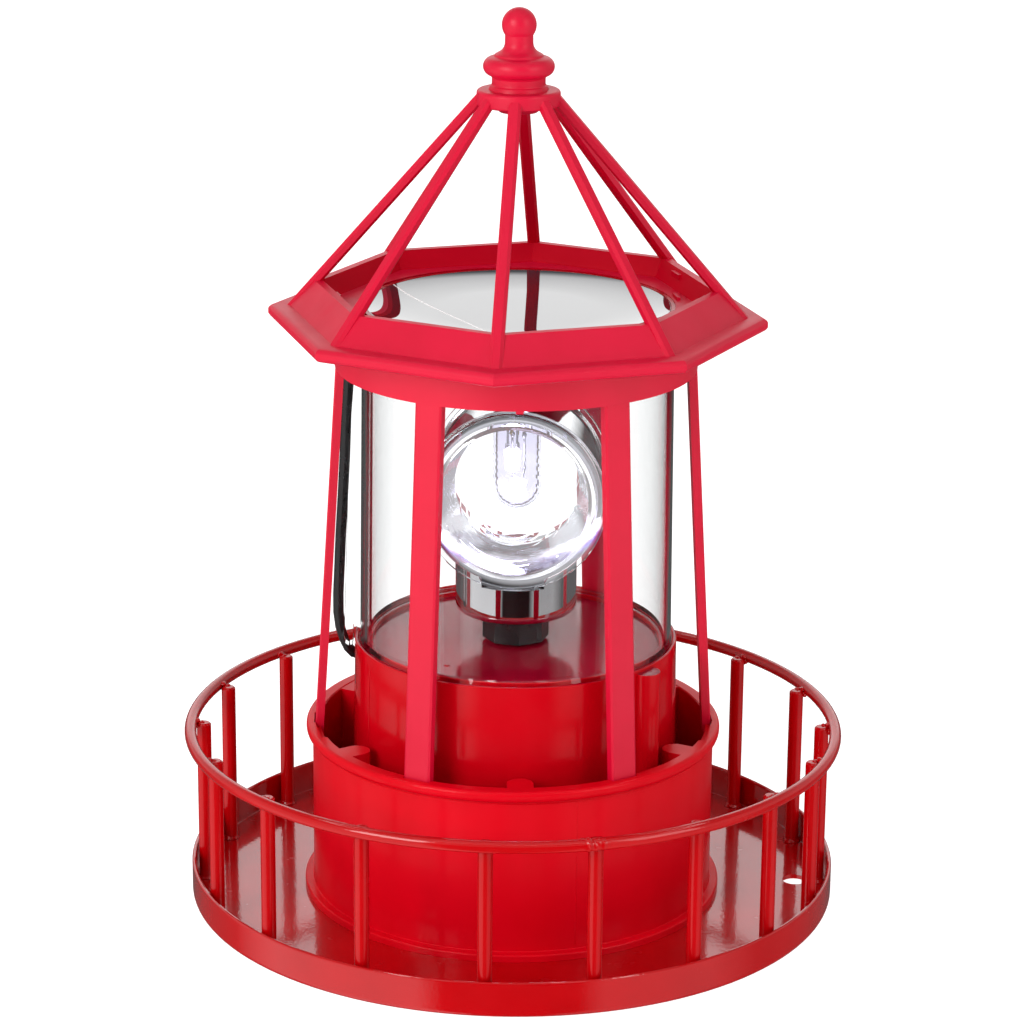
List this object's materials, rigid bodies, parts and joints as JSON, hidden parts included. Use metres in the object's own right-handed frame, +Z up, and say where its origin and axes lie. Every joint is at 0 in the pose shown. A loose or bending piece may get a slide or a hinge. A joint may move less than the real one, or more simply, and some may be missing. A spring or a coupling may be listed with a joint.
{
  "type": "garden lighthouse ornament",
  "caption": "Solar garden lighthouse lantern: rotating lens in a clear tube, post cage and open octagonal roof, standing in a collar on a railed round tray.",
  "frame": {"origin": "centre of the tray's underside", "axes": "+Z up; -Y is the front, the side that the switch is nearest and the picture shows"},
  "size_m": [0.1654, 0.1654, 0.2244],
  "materials": {
    "red_metal": "gloss enamel",
    "red_plastic": "satin moulded",
    "red_gloss_plastic": "gloss moulded",
    "screw_steel": "zinc plated",
    "contact_steel": "bright",
    "motor_steel": "plated",
    "battery_sleeve": "shrink sleeve",
    "board_green": "solder mask",
    "component_black": "matt",
    "switch_case": "matt",
    "gear_plastic": "natural acetal",
    "bush_brass": "turned",
    "hub_black": "gloss moulded",
    "reflector_chrome": "bright plated plastic",
    "clear_lens": "polished acrylic",
    "clear_plastic": "clear moulded",
    "solar_cell": "glossy sealed cell",
    "lead_black": "smooth sleeve",
    "led_epoxy": "clear epoxy, lit"
  },
  "bodies": {
    "base": {"tray": "red_metal", "rail_ring": "red_metal", "rail_uprights": "red_metal", "drum": "red_plastic", "drum_screws": "screw_steel", "lantern_cage": "red_plastic", "roof": "red_plastic", "finial": "red_plastic", "lamp_housing": "red_gloss_plastic", "bottom_cover": "red_plastic", "cover_screws": "screw_steel", "battery_door": "red_plastic", "door_screw": "screw_steel", "battery": "battery_sleeve", "battery_contact": "contact_steel", "battery_spring": "contact_steel", "circuit_board": "board_green", "board_parts": "component_black", "board_screws": "screw_steel", "switch_body": "switch_case", "gear_plate": "gear_plastic", "plate_screws": "screw_steel", "motor": "motor_steel", "motor_screws": "screw_steel", "idler_axle": "contact_steel", "spindle_bush": "bush_brass", "clear_tube": "clear_plastic", "panel_cap": "red_plastic", "solar_panel": "solar_cell", "panel_lead": "lead_black", "led_capsule": "clear_plastic", "led_bulbs": "led_epoxy", "led_leads": "contact_steel"},
    "lens_rotor": {"output_gear": "gear_plastic", "spindle": "contact_steel", "rotor_hub": "hub_black", "lens_barrel": "reflector_chrome", "front_reflector": "reflector_chrome", "rear_reflector": "reflector_chrome", "front_lens": "clear_lens", "rear_lens": "clear_lens"},
    "idler": {"idler_gear": "gear_plastic"},
    "pinion": {"motor_shaft": "contact_steel", "motor_pinion": "gear_plastic"},
    "slider": {"switch_slider": "component_black"}
  },
  "joints": [
    {"name": "lens_spin", "type": "hinge", "parent": "base", "child": "lens_rotor", "pos_m": [0.00045, 0, 0.1062], "axis": [0, 0, 1], "continuous": true},
    {"name": "idler_spin", "type": "hinge", "parent": "base", "child": "idler", "pos_m": [0.00045, 0.0144, 0.054], "axis": [0, 0, 1], "continuous": true},
    {"name": "pinion_spin", "type": "hinge", "parent": "base", "child": "pinion", "pos_m": [-0.01202, 0.0072, 0.051], "axis": [0, 0, 1], "continuous": true},
    {"name": "switch_slide", "type": "slide", "parent": "base", "child": "slider", "axis": [1, 0, 0], "range_m": [0, 0.0025]}
  ],
  "couplings": [
    {"joint": "idler_spin", "follows": "lens_spin", "ratio": -3},
    {"joint": "pinion_spin", "follows": "lens_spin", "ratio": 9}
  ]
}
